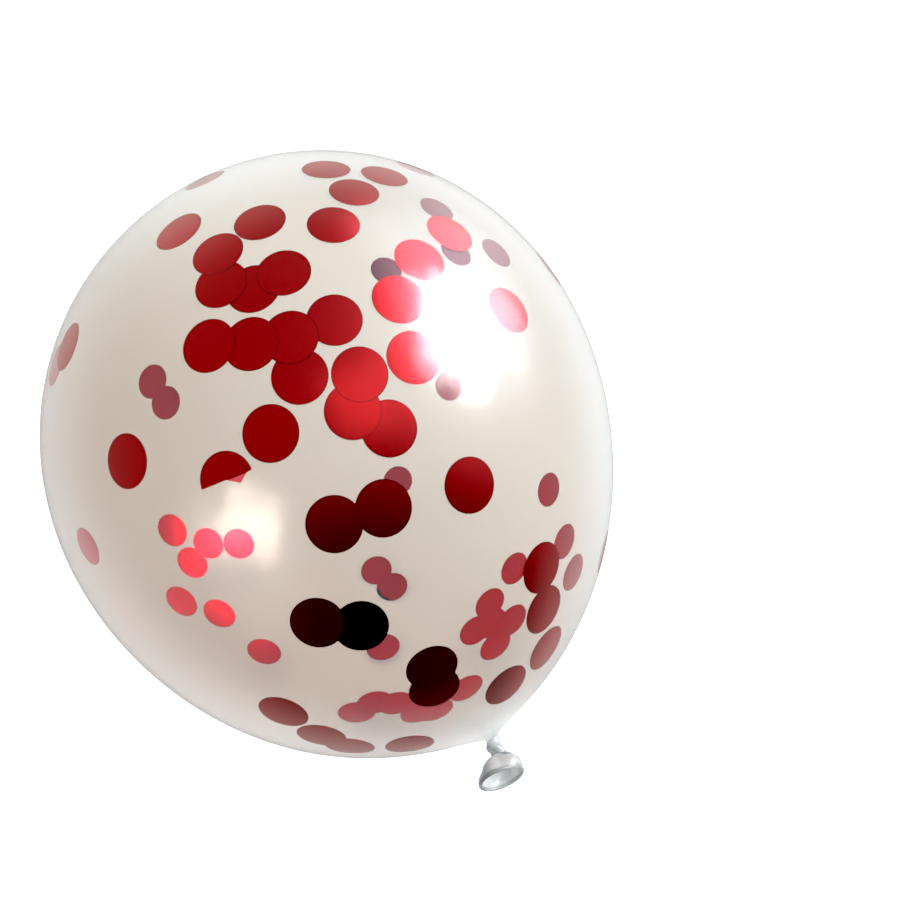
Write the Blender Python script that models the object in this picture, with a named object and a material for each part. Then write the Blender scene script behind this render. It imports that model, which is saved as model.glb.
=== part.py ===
"""A clear latex party balloon, blown up, tied and lying on its side.

The body is a ball that is drawn out towards its neck. The neck is tied in a small knot, and past it
the open tail flares to a rolled lip. The balloon is sealed, so its body is solid. It lies on a small
flat spot, and the middle of that spot is the origin. The neck points along -Y and dips a little.

Metres, +Z up. Shapes are first worked out along the balloon's own axis, with the middle of the ball
at zero and the neck at +Z, and then laid down.
"""

import bmesh
import bpy
from math import asin, cos, exp, pi, radians, sin
from mathutils import Matrix, Vector

# Body. Angles round the middle of the ball are measured from the neck.
BODY_RADIUS = 0.140
NECK_PULL = 0.175              # how far the ball is drawn out towards the neck, in radii
NECK_PULL_ANGLE = 0.85         # and how widely, in radians
POINT_PULL = 0.064             # the sharper point at the neck itself, in radii
POINT_PULL_ANGLE = 0.25
CROWN_LEAN = 0.0255            # the form is a little lopsided: a rise for each unit sideways
CROWN_LEAN_HEADING = radians(203)

# Neck, knot and tail, measured along the tail from the body's point.
THROAT_RADIUS = 0.0029
HOLLOW_LENGTH = 0.0012         # the body's hollow curve ends this far down the throat
KNOT_RADIUS = 0.0038
KNOT_MIDDLE = 0.0036
KNOT_LENGTH = 0.0017
KNOT_SLANT = 0.4               # the knot's wrap runs round the neck at a slant
SKIRT_START = 0.0062
TAIL_LENGTH = 0.0185           # to the middle of the lip's bead
LIP_RADIUS = 0.0094            # to the middle of the lip's bead
BEAD_RADIUS = 0.0010
TAIL_WALL = 0.0009
FUNNEL_START = 0.0092          # where the open tail closes up
FOLDS = 5
FOLD_DEPTH = 0.09              # midway down the skirt, as a share of its radius
TAIL_BEND = radians(18.7)
TAIL_BEND_LENGTH = 0.007
TAIL_BEND_HEADING = radians(127)

# How it lies.
AXIS_DIP = radians(18)
FLAT_DEPTH = 0.0015            # makes the flat spot about 40 mm across

# Facets.
SEGMENTS = 60
BODY_RINGS = 32
HOLLOW_RINGS = 4
NECK_RINGS = 5
SKIRT_RINGS = 8
BEAD_STEPS = 7
FUNNEL_RINGS = 6
MERGE = 0.000001

LATEX_COLOUR = (0.80, 0.78, 0.74, 1.0)


def clear_scene():
    for item in list(bpy.data.objects):
        bpy.data.objects.remove(item, do_unlink=True)


def latex_material():
    material = bpy.data.materials.new("clear_latex")
    material.use_nodes = True
    shader = material.node_tree.nodes["Principled BSDF"]
    shader.inputs["Base Color"].default_value = LATEX_COLOUR
    shader.inputs["Metallic"].default_value = 0.0
    shader.inputs["Roughness"].default_value = 0.12
    shader.inputs["Alpha"].default_value = 0.35
    return material


def body_reach(angle):
    """How far the wall is from the middle of the ball, at an angle from the neck."""
    neck_pull = NECK_PULL * exp(-(angle / NECK_PULL_ANGLE) ** 2)
    point_pull = POINT_PULL * exp(-angle / POINT_PULL_ANGLE)
    return BODY_RADIUS * (1.0 + neck_pull + point_pull)


BODY_POINT = body_reach(0.0)


def skirt_radius(s):
    """Middle of the tail's wall: a bell that opens quickly below the knot."""
    t = min(max((s - SKIRT_START) / (TAIL_LENGTH - SKIRT_START), 0.0), 1.0)
    return THROAT_RADIUS + (LIP_RADIUS - THROAT_RADIUS) * sin(0.5 * pi * t) ** 1.3


def body_points():
    """The body's outline from its crown to its throat, as (radius, height)."""
    points = []
    for i in range(BODY_RINGS):
        angle = pi * (1.0 - i / BODY_RINGS)
        reach = body_reach(angle)
        points.append((reach * sin(angle) if i else 0.0, reach * cos(angle)))
    # A short hollow curve leads from the last ring into the throat.
    start = Vector(points[-1])
    corner = Vector((THROAT_RADIUS, BODY_POINT))
    end = Vector((THROAT_RADIUS, BODY_POINT + HOLLOW_LENGTH))
    for i in range(1, HOLLOW_RINGS + 1):
        t = i / HOLLOW_RINGS
        point = (1 - t) ** 2 * start + 2 * t * (1 - t) * corner + t * t * end
        points.append((point.x, point.y))
    return points


def tail_points():
    """The tail's outline: down the neck and skirt, round the lip's bead and up the open inside."""
    half_wall = 0.5 * TAIL_WALL
    points = []
    for i in range(1, NECK_RINGS + 1):
        s = HOLLOW_LENGTH + (SKIRT_START - HOLLOW_LENGTH) * i / NECK_RINGS
        points.append((THROAT_RADIUS, s))
    for i in range(1, SKIRT_RINGS):
        s = SKIRT_START + (TAIL_LENGTH - SKIRT_START) * i / SKIRT_RINGS
        points.append((skirt_radius(s) + half_wall, s))
    opening = asin(half_wall / BEAD_RADIUS)
    for i in range(BEAD_STEPS + 1):
        turn = opening + (2 * pi - 2 * opening) * i / BEAD_STEPS
        points.append((LIP_RADIUS + BEAD_RADIUS * sin(turn), TAIL_LENGTH - BEAD_RADIUS * cos(turn)))
    for i in range(1, FUNNEL_RINGS + 1):
        s = TAIL_LENGTH + (FUNNEL_START - TAIL_LENGTH) * i / FUNNEL_RINGS
        points.append((skirt_radius(s) - half_wall, s))
    points.append((0.0, FUNNEL_START - half_wall))
    return [(radius, BODY_POINT + s) for radius, s in points]


def turned(points):
    """Spins an outline whose two ends lie on the axis into one closed surface."""
    bm = bmesh.new()
    verts = [bm.verts.new((radius, 0.0, height)) for radius, height in points]
    edges = [bm.edges.new(pair) for pair in zip(verts, verts[1:])]
    bmesh.ops.spin(bm, geom=verts + edges, cent=(0, 0, 0), axis=(0, 0, 1), angle=2 * pi,
                   steps=SEGMENTS, use_merge=True)
    bmesh.ops.remove_doubles(bm, verts=bm.verts[:], dist=MERGE)
    return bm


def heading(angle):
    return Vector((cos(angle), sin(angle), 0.0))


def with_lean(point):
    """One side of the body stands a little further towards the neck than the other."""
    share = min(max(1.0 - (point.z / BODY_POINT) ** 8, 0.0), 1.0)
    return point + Vector((0, 0, CROWN_LEAN * share * point.dot(heading(CROWN_LEAN_HEADING))))


def with_knot(point):
    """A slanting wrap stands out round the neck."""
    across = Vector((point.x, point.y, 0.0))
    if across.length < MERGE:
        return point
    s = point.z - BODY_POINT - KNOT_MIDDLE - KNOT_SLANT * point.x
    swell = (KNOT_RADIUS - THROAT_RADIUS) * exp(-(s / KNOT_LENGTH) ** 2)
    return point + across.normalized() * swell


def with_folds(point, turn):
    """Soft folds run down the skirt and fade out at the knot and at the lip."""
    t = (point.z - BODY_POINT - SKIRT_START) / (TAIL_LENGTH - SKIRT_START)
    if not 0.0 < t < 1.0:
        return point
    scale = 1.0 + FOLD_DEPTH * sin(pi * t) * cos(FOLDS * turn)
    return Vector((point.x * scale, point.y * scale, point.z))


def with_bend(point):
    """The tail turns aside along an arc just past the body and then runs straight."""
    s = point.z - BODY_POINT
    if s <= 0.0:
        return point
    side = heading(TAIL_BEND_HEADING)
    turn = TAIL_BEND * min(s / TAIL_BEND_LENGTH, 1.0)
    arc_radius = TAIL_BEND_LENGTH / TAIL_BEND
    beyond = max(s - TAIL_BEND_LENGTH, 0.0)
    middle = side * (arc_radius * (1.0 - cos(turn)) + beyond * sin(turn))
    middle.z = BODY_POINT + arc_radius * sin(turn) + beyond * cos(turn)
    inward = point.dot(side)
    across = Vector((point.x, point.y, 0.0)) - side * inward
    return middle + across + side * (inward * cos(turn)) - Vector((0, 0, inward * sin(turn)))


def shape_up(bm):
    for vert in bm.verts:
        turn = Vector((vert.co.x, vert.co.y)).angle_signed(Vector((1, 0)), 0.0)
        point = with_lean(vert.co)
        if point.z > BODY_POINT:
            point = with_bend(with_folds(with_knot(point), turn))
        vert.co = point


def lay_down(bm):
    """Turns the neck to -Y with its dip, and cuts the flat spot at height zero."""
    # The neck's axis becomes (0, -cos dip, -sin dip); X stays level.
    bmesh.ops.rotate(bm, verts=bm.verts[:], cent=(0, 0, 0),
                     matrix=Matrix.Rotation(0.5 * pi + AXIS_DIP, 3, "X"))
    lowest = min(bm.verts, key=lambda vert: vert.co.z).co.copy()
    bmesh.ops.translate(bm, verts=bm.verts[:], vec=(-lowest.x, -lowest.y, -lowest.z - FLAT_DEPTH))
    cut = bmesh.ops.bisect_plane(bm, geom=bm.verts[:] + bm.edges[:] + bm.faces[:], dist=MERGE,
                                 plane_co=(0, 0, 0), plane_no=(0, 0, 1), clear_inner=True)
    rim = [item for item in cut["geom_cut"] if isinstance(item, bmesh.types.BMEdge)]
    flat = bmesh.ops.holes_fill(bm, edges=rim, sides=0)["faces"][0]
    middle = flat.calc_center_bounds()
    bmesh.ops.translate(bm, verts=bm.verts[:], vec=(-middle.x, -middle.y, 0.0))


def make_balloon():
    bm = turned(body_points() + tail_points())
    shape_up(bm)
    lay_down(bm)
    bmesh.ops.recalc_face_normals(bm, faces=bm.faces[:])
    mesh = bpy.data.meshes.new("balloon")
    bm.to_mesh(mesh)
    bm.free()
    mesh.shade_smooth()
    mesh.set_sharp_from_angle(angle=radians(40))
    mesh.materials.append(latex_material())
    balloon = bpy.data.objects.new("balloon", mesh)
    bpy.context.collection.objects.link(balloon)


clear_scene()
make_balloon()
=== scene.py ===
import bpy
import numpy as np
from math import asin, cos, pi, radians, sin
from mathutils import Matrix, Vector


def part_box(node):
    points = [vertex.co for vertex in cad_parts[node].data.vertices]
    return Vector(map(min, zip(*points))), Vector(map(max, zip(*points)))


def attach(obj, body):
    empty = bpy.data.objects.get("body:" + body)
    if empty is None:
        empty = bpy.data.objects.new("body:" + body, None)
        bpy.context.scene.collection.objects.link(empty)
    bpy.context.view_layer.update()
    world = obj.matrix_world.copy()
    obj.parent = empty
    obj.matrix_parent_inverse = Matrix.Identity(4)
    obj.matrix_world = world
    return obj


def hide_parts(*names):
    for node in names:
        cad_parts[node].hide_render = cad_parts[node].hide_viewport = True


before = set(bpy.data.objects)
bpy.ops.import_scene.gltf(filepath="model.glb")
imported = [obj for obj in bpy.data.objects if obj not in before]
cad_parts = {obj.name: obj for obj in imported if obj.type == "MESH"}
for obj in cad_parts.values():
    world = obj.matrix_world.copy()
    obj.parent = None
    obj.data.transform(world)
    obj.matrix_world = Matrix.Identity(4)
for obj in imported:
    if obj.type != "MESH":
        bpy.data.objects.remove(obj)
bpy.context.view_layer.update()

# A clear latex party balloon with red foil confetti inside, lying on its side.
# Metres, +Z up, neck towards -Y. Shapes are worked out along the balloon's own axis, with the
# middle of the ball at zero and the neck at +Z, and are then laid down to fit the frame.

mm = 0.001
tiny = 0.001 * mm                             # what counts as no distance
print("1 of 6: frame loaded")


def across(angle):
    # unit vector across the balloon's own axis, at this angle from its X
    return np.array([cos(angle), sin(angle)])


def easing(x):
    # smooth step from 0 to 1
    x = np.clip(x, 0.0, 1.0)
    return x * x * (3.0 - 2.0 * x)


def hexColour(code):
    # sRGB hex to linear RGBA
    parts = [int(code[i:i + 2], 16) / 255.0 for i in (0, 2, 4)]
    return [p / 12.92 if p <= 0.04045 else ((p + 0.055) / 1.055) ** 2.4 for p in parts] + [1.0]


def addNode(tree, kind, inputs=None, **settings):
    # adds a node, sets its own settings, then sets or links its inputs
    node = tree.nodes.new(kind)
    for name, value in settings.items():
        setattr(node, name, value)
    for key, value in (inputs or {}).items():
        if isinstance(value, bpy.types.NodeSocket):
            tree.links.new(value, node.inputs[key])
        else:
            node.inputs[key].default_value = value
    return node


def newMaterial(name):
    material = bpy.data.materials.new(name)
    material.use_nodes = True
    material.node_tree.nodes.clear()
    return material, material.node_tree


def closedFaces(rows, columns):
    # faces of a closed surface: a fan from its first point to the first row, quads from row to row,
    # and a fan from the last row to its last point
    ring = 1 + np.arange(rows * columns).reshape(rows, columns)
    after = np.roll(ring, -1, 1)
    first = np.stack([np.zeros(columns, int), ring[0], after[0]], -1)
    quads = np.stack([ring[:-1], ring[1:], after[1:], after[:-1]], -1).reshape(-1, 4)
    last = np.stack([np.full(columns, 1 + rows * columns), after[-1], ring[-1]], -1)
    return [*first.tolist(), *quads.tolist(), *last.tolist()]


def meshObject(name, points, faces, materials):
    mesh = bpy.data.meshes.new(name)
    mesh.from_pydata(points, [], faces)
    mesh.validate()
    for material in materials:
        mesh.materials.append(material)
    piece = bpy.data.objects.new(name, mesh)
    bpy.context.collection.objects.link(piece)
    return piece


form = dict(
    bodyRadius=140 * mm,
    neckPull=0.175, neckPullAngle=0.85,       # the ball is drawn out this far and this widely
    pointPull=0.064, pointPullAngle=0.25,     # the sharper point at the neck itself
    crownLean=0.0255, crownLeanHeading=radians(203),
    leanFade=8,                               # the higher, the nearer the two ends the lean fades out
    throatRadius=2.9 * mm, hollowLength=1.2 * mm,
    axisDip=radians(18),                      # the neck points this far below level
    lastAngle=pi / 32,                        # where the body's curve hands over to the hollow one
    bodyRows=150, hollowRows=10, columns=192,
)


def bodyReach(angle):
    # distance of the wall from the middle of the ball, at an angle from the neck:
    # a sphere plus two falling bumps, a wide one and a narrow one, centred on the neck
    wide = form["neckPull"] * np.exp(-(angle / form["neckPullAngle"]) ** 2)
    narrow = form["pointPull"] * np.exp(-angle / form["pointPullAngle"])
    return form["bodyRadius"] * (1.0 + wide + narrow)


bodyPoint = float(bodyReach(0.0))


def lean(points):
    # one side of the body stands a little nearer the neck: height grows with the distance sideways
    share = np.clip(1.0 - (points[..., 2] / bodyPoint) ** form["leanFade"], 0.0, 1.0)
    rise = form["crownLean"] * share * (points[..., :2] @ across(form["crownLeanHeading"]))
    return points + rise[..., None] * np.array([0.0, 0.0, 1.0])


dipCos, dipSin = cos(form["axisDip"]), sin(form["axisDip"])
layDown = np.array([[1.0, 0.0, 0.0],          # rows: where the balloon's own X, Y and neck axis go
                    [0.0, -dipSin, dipCos],
                    [0.0, -dipCos, -dipSin]])


def bodyOutline():
    # radius and height of the body from its crown to its throat: the reach curve in polar form,
    # then a quadratic curve that hollows into the throat
    angle = np.linspace(pi, form["lastAngle"], form["bodyRows"] + 1)
    reach = bodyReach(angle)
    radius, height = reach * np.sin(angle), reach * np.cos(angle)
    radius[0] = 0.0
    t = np.linspace(0.0, 1.0, form["hollowRows"] + 1)[1:]
    start, corner, end = (1 - t) ** 2, 2 * t * (1 - t), t * t
    throat, throatEnd = form["throatRadius"], bodyPoint + form["hollowLength"]
    hollowRadius = start * radius[-1] + corner * throat + end * throat
    hollowHeight = start * height[-1] + corner * bodyPoint + end * throatEnd
    return np.concatenate([radius, hollowRadius]), np.concatenate([height, hollowHeight])


# Lengths along the tail are from the body's point.
tail = dict(
    knotSwell=1.3 * mm, knotMiddle=6.2 * mm, knotLength=2.3 * mm,
    knotTuck=0.35,                            # draws the neck in on both sides of the wrap
    knotSlant=0.7, knotHeading=radians(10),
    skirtStart=9.0 * mm, length=18.5 * mm,
    skirtFlare=0.75,                          # the lower, the sooner the bell opens
    lipRadius=9.6 * mm, beadRadius=0.8 * mm,
    wall=0.9 * mm, wallGrows=1.5 * mm,        # the skirt's wall gets its thickness over this length
    funnelStart=10.4 * mm,
    folds=5, foldDepth=0.09, foldTwist=1.6,
    wideFolds=3, wideFoldShare=0.5, wideFoldTurn=1.0,
    bend=radians(18.7), bendLength=7 * mm, bendHeading=radians(127),
    drift=2.4 * mm, driftHeading=radians(190),                # it sags to this side
    fullness=0.9 * mm, fullnessSpread=0.7,    # and is fuller there
    neckRows=24, skirtRows=44, beadRows=14, funnelRows=30,
)

# Where the tail is painted darker, each place with how dark from 0 to 1: along the lip's bead, where
# the latex is rolled thick, and painted shade in the crease below the knot's wrap and down one side
# of the knot and of the skirt.
thickAndShade = dict(
    bead=0.3, beadLength=1.2 * mm,
    crease=0.9, creasePlace=2.7 * mm, creaseLength=1.0 * mm, creaseEnds=12 * mm,
    knot=0.9, knotPlace=5.5 * mm, knotLength=4 * mm,
    skirt=0.45, skirtFrom=8 * mm, skirtGrows=3 * mm,
    heading=radians(168), narrowness=1.5,
)


def skirtRadius(s):
    # middle of the tail's wall: a bell that opens quickly below the knot
    t = np.clip((s - tail["skirtStart"]) / (tail["length"] - tail["skirtStart"]), 0.0, 1.0)
    flare = np.sin(0.5 * pi * t) ** tail["skirtFlare"]
    return form["throatRadius"] + (tail["lipRadius"] - form["throatRadius"]) * flare


def belowKnot(points):
    # distance past the middle of the knot's wrap, which runs round the neck at a slant
    slant = tail["knotSlant"] * (points[..., :2] @ across(tail["knotHeading"]))
    return points[..., 2] - bodyPoint - tail["knotMiddle"] - slant


def tailOutline():
    # radius and distance past the body: down the neck and skirt, round the lip's bead, up inside
    half = 0.5 * tail["wall"]
    neck = np.linspace(form["hollowLength"], tail["skirtStart"], tail["neckRows"] + 1)[1:]
    skirt = np.linspace(tail["skirtStart"], tail["length"], tail["skirtRows"] + 1)[1:-1]
    opening = asin(half / tail["beadRadius"])
    bead = np.linspace(opening, 2 * pi - opening, tail["beadRows"] + 1)
    funnel = np.linspace(tail["length"], tail["funnelStart"], tail["funnelRows"] + 1)[1:]
    grown = easing((skirt - tail["skirtStart"]) / tail["wallGrows"])
    radius = [np.full_like(neck, form["throatRadius"]),
              skirtRadius(skirt) + half * grown,
              tail["lipRadius"] + tail["beadRadius"] * np.sin(bead),
              skirtRadius(funnel) - half,
              [0.0]]
    along = [neck,
             skirt,
             tail["length"] - tail["beadRadius"] * np.cos(bead),
             funnel,
             [tail["funnelStart"] - half]]
    return np.concatenate(radius), np.concatenate(along)


def tailShape(points, turn):
    # the knot's slanting wrap swells the neck, twisted folds run down the skirt, and the tail sags
    # to one side and bends aside
    s = points[..., 2] - bodyPoint
    outward = np.stack([np.cos(turn), np.sin(turn)], -1) * np.ones(s.shape)[..., None]
    radius = np.hypot(points[..., 0], points[..., 1])
    knot = (belowKnot(points) / tail["knotLength"]) ** 2
    knot = tail["knotSwell"] * (1.0 - tail["knotTuck"] * knot) * np.exp(-knot)
    t = np.clip((s - tail["skirtStart"]) / (tail["length"] - tail["skirtStart"]), 0.0, 1.0)
    side = across(tail["driftHeading"])
    folds = (np.cos(tail["folds"] * turn + tail["foldTwist"] * t)
             + tail["wideFoldShare"] * np.cos(tail["wideFolds"] * turn - tail["wideFoldTurn"]))
    full = tail["fullness"] * np.clip(outward @ side, 0.0, None)
    swollen = radius + knot + full * np.sin(pi * t) ** tail["fullnessSpread"]
    folded = swollen * (1.0 + tail["foldDepth"] * np.sin(pi * t) * folds)
    radius = np.where(radius > tiny, folded, 0.0)
    sag = tail["drift"] * np.clip(s / tail["length"], 0.0, None) ** 2
    x, y = (radius * outward[..., i] + sag * side[i] for i in (0, 1))
    # the bend: an arc over the first stretch, then straight
    side = across(tail["bendHeading"])
    angle = tail["bend"] * np.clip(s / tail["bendLength"], 0.0, 1.0)
    arc = tail["bendLength"] / tail["bend"]
    beyond = np.clip(s - tail["bendLength"], 0.0, None)
    shift = arc * (1.0 - np.cos(angle)) + beyond * np.sin(angle)
    height = bodyPoint + arc * np.sin(angle) + beyond * np.cos(angle)
    inward = x * side[0] + y * side[1]
    swing = shift + inward * (np.cos(angle) - 1.0)
    return np.stack([x + side[0] * swing, y + side[1] * swing, height - inward * np.sin(angle)], -1)


turn = np.arange(form["columns"]) * 2 * pi / form["columns"]
bodyRadius, bodyHeight = bodyOutline()
bodyGrid = np.stack([bodyRadius[:, None] * np.cos(turn), bodyRadius[:, None] * np.sin(turn),
                     bodyHeight[:, None] * np.ones_like(turn)], -1)
bodyGrid = lean(bodyGrid) @ layDown

boxLow, boxHigh = (np.array(corner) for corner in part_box("balloon"))
bodyLow, bodyHigh = bodyGrid.min((0, 1)), bodyGrid.max((0, 1))
ballMiddle = np.array([0.5 * (boxLow[0] + boxHigh[0] - bodyLow[0] - bodyHigh[0]),
                       boxHigh[1] - bodyHigh[1], boxHigh[2] - bodyHigh[2]])
print("ball middle (mm):", np.round(ballMiddle / mm, 2))


def wallPoints(directions):
    # where a ray from the ball's middle meets the wall, for unit directions in the frame
    own = directions @ layDown.T
    reach = bodyReach(np.arccos(np.clip(own[..., 2], -1.0, 1.0)))
    return lean(own * reach[..., None]) @ layDown + ballMiddle


def rolledAndShadedLatex(tailGrid, along):
    # how dark the tail is painted, from 0 to 1, before it gets its folds and its bend: soft bumps
    # along the tail, some of them to one side only, added up; the lip's bead is thick latex, the rest
    # painted shade
    outside = (np.arange(len(along)) < len(along) - tail["funnelRows"])[:, None]
    # the one side of the knot and skirt where shade is painted
    side = np.clip(np.cos(turn - thickAndShade["heading"]), 0.0, None) ** thickAndShade["narrowness"]
    bead = np.exp(-((along - tail["length"]) / thickAndShade["beadLength"]) ** 4) + 0 * turn
    # painted shade in the crease below the knot's wrap
    crease = np.exp(-((belowKnot(tailGrid) - thickAndShade["creasePlace"]) / thickAndShade["creaseLength"]) ** 2)
    crease = crease * (along < thickAndShade["creaseEnds"])
    knot = side * np.exp(-((along - thickAndShade["knotPlace"]) / thickAndShade["knotLength"]) ** 4)
    skirt = side * easing((along - thickAndShade["skirtFrom"]) / thickAndShade["skirtGrows"]) * outside
    total = (thickAndShade["bead"] * bead + thickAndShade["crease"] * crease + thickAndShade["knot"] * knot
             + thickAndShade["skirt"] * skirt)
    return np.minimum(total, 1.0)


def makeSkin(materials):
    # one closed surface: body and tail are turned outlines on a grid of rows and columns
    tailRadius, tailAlong = tailOutline()
    tailGrid = np.stack([tailRadius[:, None] * np.cos(turn), tailRadius[:, None] * np.sin(turn),
                         (bodyPoint + tailAlong)[:, None] * np.ones_like(turn)], -1)
    rolledAndShade = rolledAndShadedLatex(tailGrid, tailAlong[:, None])
    tailGrid = tailShape(tailGrid, turn[None, :]) @ layDown
    grid = np.concatenate([bodyGrid, tailGrid]) + ballMiddle
    grid[..., 2] = np.maximum(grid[..., 2], 0.0)      # the flat spot that it lies on
    rows, columns = grid.shape[:2]
    points = np.concatenate([grid[:1, 0], grid[1:-1].reshape(-1, 3), grid[-1:, 0]])
    skin = meshObject("balloon_skin", points, closedFaces(rows - 2, columns), materials)
    slot = np.zeros(len(skin.data.polygons), int)
    slot[columns * (len(bodyRadius) - 1):] = 1        # faces past the throat are the tail's
    skin.data.polygons.foreach_set("material_index", slot)
    # the tail's painted darkness: thick rolled latex at the lip, painted shade in the crease and down
    # one side
    rolledAndShade = np.concatenate([np.zeros((len(bodyRadius), columns)), rolledAndShade])[1:-1].ravel()
    rolledAndShade = np.concatenate([[0.0], rolledAndShade, [0.0]])
    skin.data.attributes.new("rolledAndShade", "FLOAT", "POINT").data.foreach_set("value", rolledAndShade)
    skin.data.shade_smooth()
    return skin


bloom = dict(
    depth=0.9 * mm, rows=96, columns=144,
    chalkColours=("5a595c", "69676a"), cloudSize=71.43 * mm,
    sheenColour="e2deda", slantFrom=0.4,
    roughness=0.16, ior=1.8, alpha=0.05,      # the high ior gives the powder its sheen at a slant
)


def makeBloom(material):
    # the skin's inner face, just behind the discs that cling to it: a grid of angles from the neck
    # and turns about its axis, at an even depth
    angle = np.linspace(0.0, pi, bloom["rows"] + 1)[1:-1, None]
    around = np.arange(bloom["columns"]) * 2 * pi / bloom["columns"]
    own = np.stack([np.sin(angle) * np.cos(around), np.sin(angle) * np.sin(around),
                    np.cos(angle) * np.ones_like(around)], -1).reshape(-1, 3)
    direction = np.concatenate([[[0.0, 0.0, 1.0]], own, [[0.0, 0.0, -1.0]]]) @ layDown
    points = wallPoints(direction) - bloom["depth"] * direction
    points[:, 2] = np.maximum(points[:, 2], bloom["depth"])
    faces = closedFaces(bloom["rows"] - 1, bloom["columns"])
    piece = meshObject("inner_face", points, faces, [material])
    piece.data.shade_smooth()
    return piece


confetti = dict(
    discRadius=10.4 * mm, thickness=0.06 * mm,
    gap=0.06 * mm, step=0.10 * mm,            # from the wall to the first disc, and on to the next
    floorGap=0.3 * mm,
    rings=(0.45, 0.8, 0.955, 1.0), segments=40,
    curl=0.14 * mm, leastCurl=0.2,            # two opposite edges stand off the wall, some less
    foldWay=radians(26), foldGap=0.15 * mm,   # a folded disc's crease, and how far its flap is off
    slack=0.36, slackPlace=0.5, slackWidth=0.3,               # where the flap bags out, in radii
    # the tone of a disc painted near black for a painted dark reflection, and of a fold's flap
    paintedBlackTone=-1.0, flapTone=12.0,             # the others have tones from 0 to 1
    sharpEdge=radians(40),
    seed=7,
)

# Each clump is a list of discs as (heading, lift) in degrees round the middle of the ball.
# Heading 0 is the neck's side, -Y, and 90 is +X. The first disc of a clump lies nearest the skin.
clumps = [
    # upper part of the show side
    [(-91, 67.5)], [(-50, 76)], [(-94, 39.5)],
    [(-60, 68), (-51, 63), (-29, 66), (-39, 63)],
    [(-47, 53), (-36, 54), (-26, 55), (-14, 57), (-24, 49)],
    [(103, 84.5)], [(78, 75)], [(37.5, 79.5)], [(-2, 74.5)],
    [(43, 62)], [(21, 62)], [(5.5, 57.5)], [(1.8, 48.2)], [(33, 46.5)],
    [(-11, 48), (-14, 43), (-8, 39.5)],
    [(-30, 41)], [(-59, 33)], [(-37.8, 34.2)],
    # lower part of the show side
    [(2.8, 28.2)], [(-20, 28), (-12, 29)], [(-24, 14), (-18, 13)],
    [(-9, 4), (-9, 0)],
    [(11, 11), (10, 4)], [(10, -4)], [(2, -5.5)],
    [(-31, -4)], [(-26, -10), (-22, -14)], [(-13, -14)],
    # far side
    [(-149, -7), (-150, -14)],
    [(-125, -38)], [(-118, -46), (-129, -48)], [(-137, -55)],
    [(-100, -44)], [(-98, -54)], [(-74, -61)], [(-100, -15)],
    [(121, -80), (80, -80)], [(-1, -73)], [(133, -54)],
    [(72, -29)], [(57, -46)], [(54, -29)], [(43, -26)],
    [(46, -53), (34, -55), (37, -51), (37, -45), (28, -47)],
    [(-23, -53), (-16, -56), (-9, -54), (-4, -48), (0, -46), (11, -46)],
    [(142, 7)], [(123, 32)], [(121, 17)], [(107, 22)], [(122, -24)],
    [(-163, 55)], [(117, 54)], [(79, 32)], [(35.5, -8.5)], [(-117, 21)],
]
folded = [(-37.8, 34.2)]          # lies folded in half, along a line through its middle
paintedBlackDiscs = [(-18, 13)]          # painted near black, a painted reflection of the dark room in its mirror


def discTemplate():
    # one disc as two sheets of rings: polar places (share of the radius, turn, side) and faces
    segments, rings = confetti["segments"], len(confetti["rings"])
    around = np.arange(segments) * 2 * pi / segments
    share = np.concatenate([[0.0], np.repeat(confetti["rings"], segments)])
    angle = np.concatenate([[0.0], np.tile(around, rings)])
    ring = 1 + np.arange(rings * segments).reshape(rings, segments)
    after = np.roll(ring, -1, 1)
    fan = np.stack([np.zeros(segments, int), ring[0], after[0]], -1)
    strips = np.stack([ring[:-1], ring[1:], after[1:], after[:-1]], -1).reshape(-1, 4)
    count = len(share)
    edge = np.stack([ring[-1], ring[-1] + count, after[-1] + count, after[-1]], -1)
    faces = [*fan.tolist(), *strips.tolist(), *(fan[:, ::-1] + count).tolist(),
             *(strips[:, ::-1] + count).tolist(), *edge.tolist()]
    side = np.repeat([0.0, 1.0], count)
    return np.tile(share, 2), np.tile(angle, 2), side, faces


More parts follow.
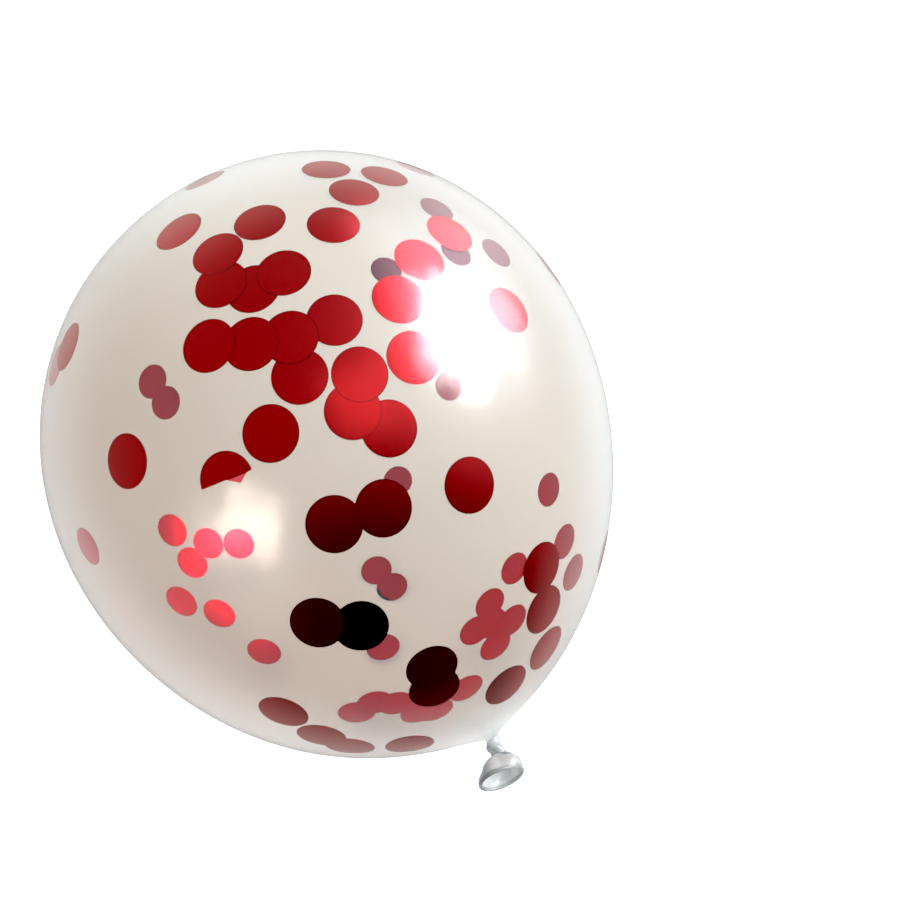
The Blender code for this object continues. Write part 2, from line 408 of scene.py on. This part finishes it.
def makeConfetti(material):
    # every disc is bent to the wall: its flat places become directions from the ball's middle
    random = np.random.default_rng(confetti["seed"])
    share, angle, side, faces = discTemplate()
    places = [(*disc, order) for clump in clumps for order, disc in enumerate(clump)]
    heading, lift, order = np.array(places, float).T
    halved = np.array([place[:2] in folded for place in places])
    heading, lift = np.radians(heading), np.radians(lift)
    middle = np.stack([np.sin(heading) * np.cos(lift), -np.cos(heading) * np.cos(lift),
                       np.sin(lift)], -1)
    level = np.stack([np.cos(heading), np.sin(heading), np.zeros_like(heading)], -1)
    up = np.cross(middle, level)
    spin = np.where(halved, confetti["foldWay"], random.uniform(0, 2 * pi, len(middle)))
    # the lower half of a folded disc is turned back behind the upper half
    x, y = share * np.cos(angle), share * np.sin(angle)
    flap = halved[:, None] & (y < -tiny)
    bagged = (x - confetti["slackPlace"]) / confetti["slackWidth"]
    slack = confetti["slack"] * np.exp(-bagged ** 2)
    turned = np.where(flap, -y - slack, y)
    reach = np.linalg.norm(wallPoints(middle) - ballMiddle, axis=-1)
    arc = confetti["discRadius"] * np.hypot(x, turned) / reach[:, None]
    bearing = np.arctan2(turned, x) + spin[:, None]
    sideways = (np.cos(bearing)[..., None] * level[:, None]
                + np.sin(bearing)[..., None] * up[:, None])
    direction = np.cos(arc)[..., None] * middle[:, None] + np.sin(arc)[..., None] * sideways
    wall = wallPoints(direction)
    curl = confetti["curl"] * random.uniform(confetti["leastCurl"], 1.0, len(middle))
    lifted = curl[:, None] * share[None, :] ** 2 * (1 + np.cos(2 * angle[None, :])) * 0.5
    through = np.where(flap, 2.0 - side, side) * confetti["thickness"] + flap * confetti["foldGap"]
    depth = confetti["gap"] + confetti["step"] * order[:, None] + through + lifted
    points = wall - direction * depth[..., None]
    points[..., 2] = np.maximum(points[..., 2], confetti["floorGap"])
    count, each = len(middle), len(share)
    allFaces = [[corner + disc * each for corner in face] for disc in range(count) for face in faces]
    piece = meshObject("confetti", points.reshape(-1, 3), allFaces, [material])
    mesh = piece.data
    mesh.shade_smooth()
    mesh.set_sharp_from_angle(angle=confetti["sharpEdge"])
    corners = np.empty(len(mesh.loops), int)
    mesh.loops.foreach_get("vertex_index", corners)
    flat = np.stack([x, y], -1) * 0.5 + 0.5
    flat = np.tile(flat, (count, 1))[corners]
    mesh.uv_layers.new(name="disc").data.foreach_set("uv", flat.ravel())
    # discs painted near black: a painted reflection of the dark room
    dark = np.array([place[:2] in paintedBlackDiscs for place in places])
    tones = np.where(dark, confetti["paintedBlackTone"], random.uniform(0, 1, count))[:, None]
    tones = np.where(flap, confetti["flapTone"], np.broadcast_to(tones, flap.shape))
    mesh.attributes.new("tone", "FLOAT", "POINT").data.foreach_set("value", tones.ravel())
    return piece


film = dict(
    glossShare=0.26,                          # the rest of the film is clear
    faceTint="ecddcd", slantTint="c6c0b7", slantFrom=0.3,
    neckTint="ece8e0", neckFrom=45 * mm, neckFull=3 * mm,     # distances from the body's point
    cloudColours=("040403", "0c0a09"), cloudSize=45.45 * mm,
    slantSheenColour="d0cbc4",
    roughness=0.13, ior=1.5, coat=0.6, coatRoughness=0.35,
)


def latexFilm():
    # Natural rubber latex, dipped and blown up thin: clear with a warm tint that turns grey where it
    # is seen at a slant and pale towards the neck, where it is less stretched, and a wet gloss. The
    # gloss's base colour turns pale where the film is seen at a slant: a painted sheen.
    material, tree = newMaterial("clear_latex_film")
    where = addNode(tree, "ShaderNodeTexCoord")
    neck = [float(v) for v in ballMiddle + bodyPoint * layDown[2]]
    toNeck = addNode(tree, "ShaderNodeVectorMath", {0: where.outputs["Object"], 1: neck},
                     operation="DISTANCE")
    unstretched = addNode(tree, "ShaderNodeMapRange", {
        "Value": toNeck.outputs["Value"], "From Min": film["neckFrom"],
        "From Max": film["neckFull"]}, interpolation_type="SMOOTHSTEP")
    slant = addNode(tree, "ShaderNodeLayerWeight", {"Blend": 0.5})
    slant = addNode(tree, "ShaderNodeMapRange", {
        "Value": slant.outputs["Facing"], "From Min": film["slantFrom"], "From Max": 1.0},
        interpolation_type="SMOOTHSTEP")
    depth = addNode(tree, "ShaderNodeMix", {
        0: slant.outputs["Result"], 6: hexColour(film["faceTint"]),
        7: hexColour(film["slantTint"])}, data_type="RGBA")
    tint = addNode(tree, "ShaderNodeMix", {
        0: unstretched.outputs["Result"], 6: depth.outputs[2],
        7: hexColour(film["neckTint"])}, data_type="RGBA")
    clear = addNode(tree, "ShaderNodeBsdfTransparent", {"Color": tint.outputs[2]})
    clouds = addNode(tree, "ShaderNodeTexNoise", {
        "Vector": where.outputs["Object"], "Scale": 1.0 / film["cloudSize"], "Detail": 3.0})
    dim, bright = film["cloudColours"]
    clouds = addNode(tree, "ShaderNodeMix", {
        0: clouds.outputs["Fac"], 6: hexColour(dim), 7: hexColour(bright)}, data_type="RGBA")
    # painted sheen: the gloss's base turns pale where the film is seen at a slant
    base = addNode(tree, "ShaderNodeMix", {
        0: slant.outputs["Result"], 6: clouds.outputs[2],
        7: hexColour(film["slantSheenColour"])}, data_type="RGBA")
    gloss = addNode(tree, "ShaderNodeBsdfPrincipled", {
        "Base Color": base.outputs[2], "Roughness": film["roughness"], "IOR": film["ior"],
        "Coat Weight": film["coat"], "Coat Roughness": film["coatRoughness"],
        "Coat IOR": film["ior"]})
    both = addNode(tree, "ShaderNodeMixShader", {
        0: film["glossShare"], 1: clear.outputs[0], 2: gloss.outputs[0]})
    addNode(tree, "ShaderNodeOutputMaterial", {"Surface": both.outputs[0]})
    return material


def latexBloom():
    # The faint chalky bloom on the latex's inner face: a thin veil with a white sheen where it is
    # seen at a slant.
    material, tree = newMaterial("latex_bloom")
    where = addNode(tree, "ShaderNodeTexCoord")
    clouds = addNode(tree, "ShaderNodeTexNoise", {
        "Vector": where.outputs["Object"], "Scale": 1.0 / bloom["cloudSize"], "Detail": 4.0})
    dim, bright = bloom["chalkColours"]
    chalk = addNode(tree, "ShaderNodeMix", {
        0: clouds.outputs["Fac"], 6: hexColour(dim), 7: hexColour(bright)}, data_type="RGBA")
    slant = addNode(tree, "ShaderNodeLayerWeight", {"Blend": 0.5})
    slant = addNode(tree, "ShaderNodeMapRange", {
        "Value": slant.outputs["Facing"], "From Min": bloom["slantFrom"], "From Max": 1.0},
        interpolation_type="SMOOTHSTEP")
    base = addNode(tree, "ShaderNodeMix", {
        0: slant.outputs["Result"], 6: chalk.outputs[2],
        7: hexColour(bloom["sheenColour"])}, data_type="RGBA")
    shader = addNode(tree, "ShaderNodeBsdfPrincipled", {
        "Base Color": base.outputs[2], "Roughness": bloom["roughness"], "IOR": bloom["ior"],
        "Alpha": bloom["alpha"]})
    addNode(tree, "ShaderNodeOutputMaterial", {"Surface": shader.outputs[0]})
    return material


milk = dict(
    cloudColours=("868784", "a8a9a5"), cloudSize=3.333 * mm,
    # the dark of the lip's rolled latex and of the painted shade
    rolledAndShadeColour="484a48",
    roughness=0.5, ior=1.38, alpha=0.76,
)


def latexTail():
    # The same latex unstretched at the neck and tail, so it is thick, milky and cloudy, and darker
    # where it is rolled up at the lip, with painted shade in the crease below the knot and down one
    # side of the knot and of the skirt.
    material, tree = newMaterial("milky_latex")
    where = addNode(tree, "ShaderNodeTexCoord")
    clouds = addNode(tree, "ShaderNodeTexNoise", {
        "Vector": where.outputs["Object"], "Scale": 1.0 / milk["cloudSize"], "Detail": 3.0})
    dim, bright = milk["cloudColours"]
    thin = addNode(tree, "ShaderNodeMix", {
        0: clouds.outputs["Fac"], 6: hexColour(dim), 7: hexColour(bright)}, data_type="RGBA")
    # thick rolled latex at the lip, painted shade in the crease and down one side
    rolledAndShade = addNode(tree, "ShaderNodeAttribute", attribute_name="rolledAndShade")
    base = addNode(tree, "ShaderNodeMix", {
        0: rolledAndShade.outputs["Fac"], 6: thin.outputs[2],
        7: hexColour(milk["rolledAndShadeColour"])}, data_type="RGBA")
    shader = addNode(tree, "ShaderNodeBsdfPrincipled", {
        "Base Color": base.outputs[2], "Roughness": milk["roughness"], "IOR": milk["ior"],
        "Alpha": milk["alpha"]})
    addNode(tree, "ShaderNodeOutputMaterial", {"Surface": shader.outputs[0]})
    return material


foil = dict(
    reds=("ce061a", "d4061c"),                # from the darkest disc to the lightest
    # painted shade in a thin band along the cut edge
    rimShadeColour="8c0618", rimFrom=0.94,         # from this share of the radius outwards
    # near black for the painted dark reflection
    paintedBlackColour="060202", flapColour="ff6878",
    flapToneFrom=1.5,
    roughness=0.21,
)


def redFoil():
    # Metallised red polyester film, punched into discs: a coloured mirror, a little matt, with
    # painted shade in a thin dark band along the cut edge. A tone below zero paints a disc near
    # black, a painted reflection of the dark room, and a high one the plain pink underside of a fold,
    # which is bare film and no mirror.
    material, tree = newMaterial("red_metallised_foil")
    place = addNode(tree, "ShaderNodeUVMap", uv_map="disc")       # a disc's radius is 0.5 on it
    fromMiddle = addNode(tree, "ShaderNodeVectorMath", {
        0: place.outputs[0], 1: (0.5, 0.5, 0.0)}, operation="DISTANCE")
    # where the edge's painted shade lies
    rim = addNode(tree, "ShaderNodeMapRange", {
        "Value": fromMiddle.outputs["Value"], "From Min": 0.5 * foil["rimFrom"], "From Max": 0.5},
        interpolation_type="SMOOTHSTEP")
    tone = addNode(tree, "ShaderNodeAttribute", attribute_name="tone").outputs["Fac"]
    dark, light = foil["reds"]
    red = addNode(tree, "ShaderNodeMix", {
        0: tone, 6: hexColour(dark), 7: hexColour(light)}, data_type="RGBA")
    base = addNode(tree, "ShaderNodeMix", {
        0: rim.outputs["Result"], 6: red.outputs[2],
        7: hexColour(foil["rimShadeColour"])}, data_type="RGBA")
    # a tone below zero paints the disc near black, a painted dark reflection
    back = addNode(tree, "ShaderNodeMath", {0: tone, 1: 0.0}, operation="LESS_THAN")
    shown = addNode(tree, "ShaderNodeMix", {
        0: back.outputs[0], 6: base.outputs[2],
        7: hexColour(foil["paintedBlackColour"])}, data_type="RGBA")
    flap = addNode(tree, "ShaderNodeMath", {0: tone, 1: foil["flapToneFrom"]},
                   operation="GREATER_THAN")
    shown = addNode(tree, "ShaderNodeMix", {
        0: flap.outputs[0], 6: shown.outputs[2],
        7: hexColour(foil["flapColour"])}, data_type="RGBA")
    metal = addNode(tree, "ShaderNodeMath", {0: 1.0, 1: flap.outputs[0]}, operation="SUBTRACT")
    shader = addNode(tree, "ShaderNodeBsdfPrincipled", {
        "Base Color": shown.outputs[2], "Metallic": metal.outputs[0],
        "Roughness": foil["roughness"]})
    addNode(tree, "ShaderNodeOutputMaterial", {"Surface": shader.outputs[0]})
    return material


paper = dict(size=14.0, drop=0.4 * mm, colours=("fbfbfa", "fefefd"), cloudSize=333.3 * mm)

# A painted strip of light glows from the paper behind the balloon on the right, and fades out at its
# ends, between two distances from its middle.
strip = dict(place=(0.20, 0.20, 0.0), heading=radians(99), breadth=0.30, fadesFrom=0.45, endsAt=1.05,
             strength=2.05, fall=-1.5, colour="badfff")


def paleFloor():
    # Matt white paper with the strip of light painted into it as a glow. With x as the distance from
    # the strip's line over its breadth, the light is (1 + x * x) to the power of the fall.
    material, tree = newMaterial("matt_white_paper")
    where = addNode(tree, "ShaderNodeTexCoord").outputs["Object"]
    clouds = addNode(tree, "ShaderNodeTexNoise", {"Vector": where, "Scale": 1.0 / paper["cloudSize"]})
    dim, bright = paper["colours"]
    base = addNode(tree, "ShaderNodeMix", {
        0: clouds.outputs["Fac"], 6: hexColour(dim), 7: hexColour(bright)}, data_type="RGBA")
    matt = addNode(tree, "ShaderNodeBsdfDiffuse", {"Color": base.outputs[2]})
    offset = addNode(tree, "ShaderNodeVectorMath", {0: where, 1: strip["place"]},
                     operation="SUBTRACT")
    along, aside = (addNode(tree, "ShaderNodeVectorMath", {
        0: offset.outputs[0], 1: (cos(heading), sin(heading), 0.0)}, operation="DOT_PRODUCT")
        for heading in (strip["heading"], strip["heading"] + 0.5 * pi))
    along = addNode(tree, "ShaderNodeMath", {0: along.outputs["Value"]}, operation="ABSOLUTE")
    lit = addNode(tree, "ShaderNodeMapRange", {
        "Value": along.outputs[0], "From Min": strip["endsAt"], "From Max": strip["fadesFrom"],
        "To Max": strip["strength"]}, interpolation_type="SMOOTHSTEP")
    x = addNode(tree, "ShaderNodeMath", {0: aside.outputs["Value"], 1: strip["breadth"]},
                operation="DIVIDE")
    spread = addNode(tree, "ShaderNodeMath", {0: x.outputs[0], 1: x.outputs[0], 2: 1.0},
                     operation="MULTIPLY_ADD")
    spread = addNode(tree, "ShaderNodeMath", {0: spread.outputs[0], 1: strip["fall"]},
                     operation="POWER")
    lit = addNode(tree, "ShaderNodeMath", {0: lit.outputs["Result"], 1: spread.outputs[0]},
                  operation="MULTIPLY")
    glow = addNode(tree, "ShaderNodeEmission", {"Color": hexColour(strip["colour"]),
                                                "Strength": lit.outputs[0]})
    both = addNode(tree, "ShaderNodeAddShader", {0: matt.outputs[0], 1: glow.outputs[0]})
    addNode(tree, "ShaderNodeOutputMaterial", {"Surface": both.outputs[0]})
    return material


skin = makeSkin([latexFilm(), latexTail()])
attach(skin, "root")
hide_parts("balloon")
skin.visible_shadow = False
skin.visible_diffuse = False
print("2 of 6: skin,", len(skin.data.polygons), "faces")

inner = makeBloom(latexBloom())
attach(inner, "root")
inner.visible_shadow = False
inner.visible_diffuse = False

discs = makeConfetti(redFoil())
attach(discs, "root")
print("3 of 6: confetti,", len(discs.data.polygons), "faces")


# A way is (heading, lift) from the balloon in degrees, and a pair of angles says how far from that
# way something starts and how far from it it is full.
studio = dict(
    skyStrength=1.06,
    roomColour="d9d6d4", roomStrength=1.5,
    darkColour="474444", darkWay=(-12, -14), darkAngles=(72, 26),
    wallColour="fffcfa", wallWay=(-165, 12), wallAngles=(46, 12),
    lampDistance=3.0,
)

# Daylight from the window on two pieces, each with its own radiance and colour.
daylight = dict(
    way=(88, 48), width=2.3, height=1.8,
    innerRadiance=345.0, innerColour="c8e0ff",
    skinRadiance=14.0, skinColour="f2f4f8",
)

# What gloss mirrors besides the room: the window with its sill, the glow round it, a doorway behind
# on the right, and a dim lamp overhead. Core is the share of a lamp's breadth that is bright, ragged
# how far its edge wanders, and grain how many times it does so across the lamp.
lamps = [
    dict(name="window", way=(73, 46), width=2.3, height=1.8, radiance=85.0, colour="f4f8ff",
         core=0.5, ragged=0.42, grain=4.0),
    dict(name="sill", way=(88, 28), width=1.7, height=1.2, radiance=20.0, colour="f4f8ff",
         core=0.35, ragged=0.4, grain=4.0),
    dict(name="glow", way=(96, 40), width=4.6, height=3.8, radiance=9.5, colour="dce8ff",
         core=0.3, ragged=0.05, grain=2.0),
    dict(name="doorway", way=(122, 10), width=3.0, height=1.9, radiance=0.42, colour="f4f8ff",
         core=0.3, ragged=0.1, grain=3.0),
    dict(name="overhead", way=(-2, 60), width=1.8, height=1.6, radiance=1.6, colour="fff8f6",
         core=0.3, ragged=0.1, grain=3.0),
]


def makeFloor():
    half = 0.5 * paper["size"]
    z = -paper["drop"]
    corners = np.array([[-half, -half, z], [half, -half, z], [half, half, z], [-half, half, z]])
    floor = meshObject("floor", corners, [[0, 1, 2, 3]], [paleFloor()])
    floor.visible_glossy = False


def wayTo(heading, lift):
    # unit vector for a heading (0 is -Y, 90 is +X) and a lift above level, in degrees
    a, e = radians(heading), radians(lift)
    return (sin(a) * cos(e), -cos(a) * cos(e), sin(e))


def makeSky():
    # Even white for sight and for diffuse light. What gloss mirrors is a pale room that is dark
    # on the side of the viewer and has a paler wall far behind.
    world = bpy.data.worlds.new("studio")
    world.use_nodes = True
    world.cycles.sampling_method = "NONE"
    tree = world.node_tree
    tree.nodes.clear()
    way = addNode(tree, "ShaderNodeTexCoord").outputs["Generated"]

    def nearness(direction, far, near):
        # 0 to 1 as a direction comes nearer to another, between two angles
        along = addNode(tree, "ShaderNodeVectorMath", {0: way, 1: direction}, operation="DOT_PRODUCT")
        return addNode(tree, "ShaderNodeMapRange", {
            "Value": along.outputs["Value"], "From Min": cos(radians(far)),
            "From Max": cos(radians(near))}, interpolation_type="SMOOTHSTEP").outputs["Result"]

    wall = nearness(wayTo(*studio["wallWay"]), *studio["wallAngles"])
    room = addNode(tree, "ShaderNodeMix", {0: wall, 6: hexColour(studio["roomColour"]),
                                           7: hexColour(studio["wallColour"])}, data_type="RGBA")
    dark = nearness(wayTo(*studio["darkWay"]), *studio["darkAngles"])
    room = addNode(tree, "ShaderNodeMix", {0: dark, 6: room.outputs[2],
                                           7: hexColour(studio["darkColour"])}, data_type="RGBA")
    mirrored = addNode(tree, "ShaderNodeBackground", {"Color": room.outputs[2],
                                                      "Strength": studio["roomStrength"]})
    even = addNode(tree, "ShaderNodeBackground", {"Color": hexColour("ffffff"),
                                                  "Strength": studio["skyStrength"]})
    ray = addNode(tree, "ShaderNodeLightPath")
    both = addNode(tree, "ShaderNodeMixShader", {0: ray.outputs["Is Glossy Ray"], 1: even.outputs[0],
                                                 2: mirrored.outputs[0]})
    addNode(tree, "ShaderNodeOutputWorld", {"Surface": both.outputs[0]})
    bpy.context.scene.world = world


def facing(place, back):
    # matrix of a lamp or camera at this place that stands upright and looks the way opposite to back
    back = np.array(back) / np.linalg.norm(back)
    right = np.cross((0.0, 0.0, 1.0), back)
    right /= np.linalg.norm(right)
    up = np.cross(back, right)
    matrix = Matrix.Identity(4)
    for column, axis in enumerate((right, up, back, place)):
        for row in range(3):
            matrix[row][column] = float(axis[row])
    return matrix


def makeLamps():
    # Soft-edged lamps that only gloss sees. Their light fades from the middle to the edge, along a
    # ragged line, as through a window with leaves and curtains.
    for item in lamps:
        lamp = bpy.data.lights.new(item["name"], "AREA")
        lamp.shape = "RECTANGLE"
        lamp.size, lamp.size_y = item["width"], item["height"]
        # an area lamp's power is its radiance times its area times pi
        lamp.energy = item["radiance"] * pi * lamp.size * lamp.size_y
        lamp.color = hexColour(item["colour"])[:3]
        lamp.use_nodes = True
        tree = lamp.node_tree
        tree.nodes.clear()
        place = addNode(tree, "ShaderNodeNewGeometry").outputs["Parametric"]
        ruffle = addNode(tree, "ShaderNodeTexNoise", {"Vector": place, "Scale": item["grain"],
                                                      "Detail": 2.0})
        ruffle = addNode(tree, "ShaderNodeVectorMath", {
            0: ruffle.outputs["Color"], 1: [item["ragged"]] * 3, 2: [-0.5 * item["ragged"]] * 3},
            operation="MULTIPLY_ADD")
        moved = addNode(tree, "ShaderNodeVectorMath", {0: place, 1: ruffle.outputs[0]})
        out = addNode(tree, "ShaderNodeVectorMath", {0: moved.outputs[0], 1: (2.0, 2.0, 0.0),
                                                     2: (-1.0, -1.0, 0.0)}, operation="MULTIPLY_ADD")
        # the fourth power makes the light's outline a rounded rectangle
        axes = addNode(tree, "ShaderNodeSeparateXYZ", {0: out.outputs[0]})
        powers = [addNode(tree, "ShaderNodeMath", {0: axes.outputs[i], 1: 4.0}, operation="POWER")
                  for i in (0, 1)]
        total = addNode(tree, "ShaderNodeMath", {0: powers[0].outputs[0], 1: powers[1].outputs[0]})
        breadth = addNode(tree, "ShaderNodeMath", {0: total.outputs[0], 1: 0.25}, operation="POWER")
        fade = addNode(tree, "ShaderNodeMapRange", {
            "Value": breadth.outputs[0], "From Min": item["core"], "From Max": 1.0,
            "To Min": 1.0, "To Max": 0.0}, interpolation_type="SMOOTHSTEP")
        shine = addNode(tree, "ShaderNodeEmission", {"Strength": fade.outputs["Result"]})
        addNode(tree, "ShaderNodeOutputLight", {"Surface": shine.outputs[0]})
        thing = bpy.data.objects.new(item["name"], lamp)
        bpy.context.collection.objects.link(thing)
        way = np.array(wayTo(*item["way"]))
        thing.matrix_world = facing(ballMiddle + studio["lampDistance"] * way, way)
        thing.visible_camera = False
        thing.visible_diffuse = False


def makeDaylight(piece, radiance, colour):
    # a lamp that lights one piece alone, for its pale veil, and that neither sight nor gloss shows
    lamp = bpy.data.lights.new("daylight", "AREA")
    lamp.shape = "ELLIPSE"
    lamp.size, lamp.size_y = daylight["width"], daylight["height"]
    lamp.energy = radiance * pi * 0.25 * pi * lamp.size * lamp.size_y
    lamp.color = hexColour(colour)[:3]
    thing = bpy.data.objects.new("daylight", lamp)
    bpy.context.collection.objects.link(thing)
    way = np.array(wayTo(*daylight["way"]))
    thing.matrix_world = facing(ballMiddle + studio["lampDistance"] * way, way)
    lit = bpy.data.collections.new(thing.name + "_lit")
    lit.objects.link(piece)
    thing.light_linking.receiver_collection = lit
    thing.visible_camera = False
    thing.visible_glossy = False


# The camera looks a little to the right of the ball's middle and below it.
sight = dict(
    heading=radians(-29.04), height=radians(42.32), distance=0.4304,
    aimRight=0.0618, aimUp=-0.0093,
    lens=32.36, sensor=36.0, nearest=0.01, farthest=100.0,
)


def makeCamera():
    data = bpy.data.cameras.new("camera")
    data.lens, data.sensor_width = sight["lens"], sight["sensor"]
    data.clip_start, data.clip_end = sight["nearest"], sight["farthest"]
    camera = bpy.data.objects.new("camera", data)
    bpy.context.collection.objects.link(camera)
    a, e = sight["heading"], sight["height"]
    right = np.array([cos(a), sin(a), 0.0])
    up = np.array([-sin(a) * sin(e), cos(a) * sin(e), cos(e)])
    back = np.cross(right, up)
    aim = ballMiddle + sight["aimRight"] * right + sight["aimUp"] * up
    camera.matrix_world = facing(aim + sight["distance"] * back, back)
    bpy.context.scene.camera = camera


makeFloor()
makeSky()
makeLamps()
makeDaylight(inner, daylight["innerRadiance"], daylight["innerColour"])
makeDaylight(skin, daylight["skinRadiance"], daylight["skinColour"])
print("4 of 6: floor and light")
makeCamera()
print("5 of 6: camera")

look = dict(blackLevel=0.02, clearLayers=32)      # deep blacks; clear layers that light passes
scene = bpy.context.scene
scene.view_settings.view_transform = "Standard"
scene.view_settings.use_curve_mapping = True
scene.view_settings.curve_mapping.black_level = [look["blackLevel"]] * 3
scene.cycles.use_denoising = True
scene.cycles.transparent_max_bounces = look["clearLayers"]
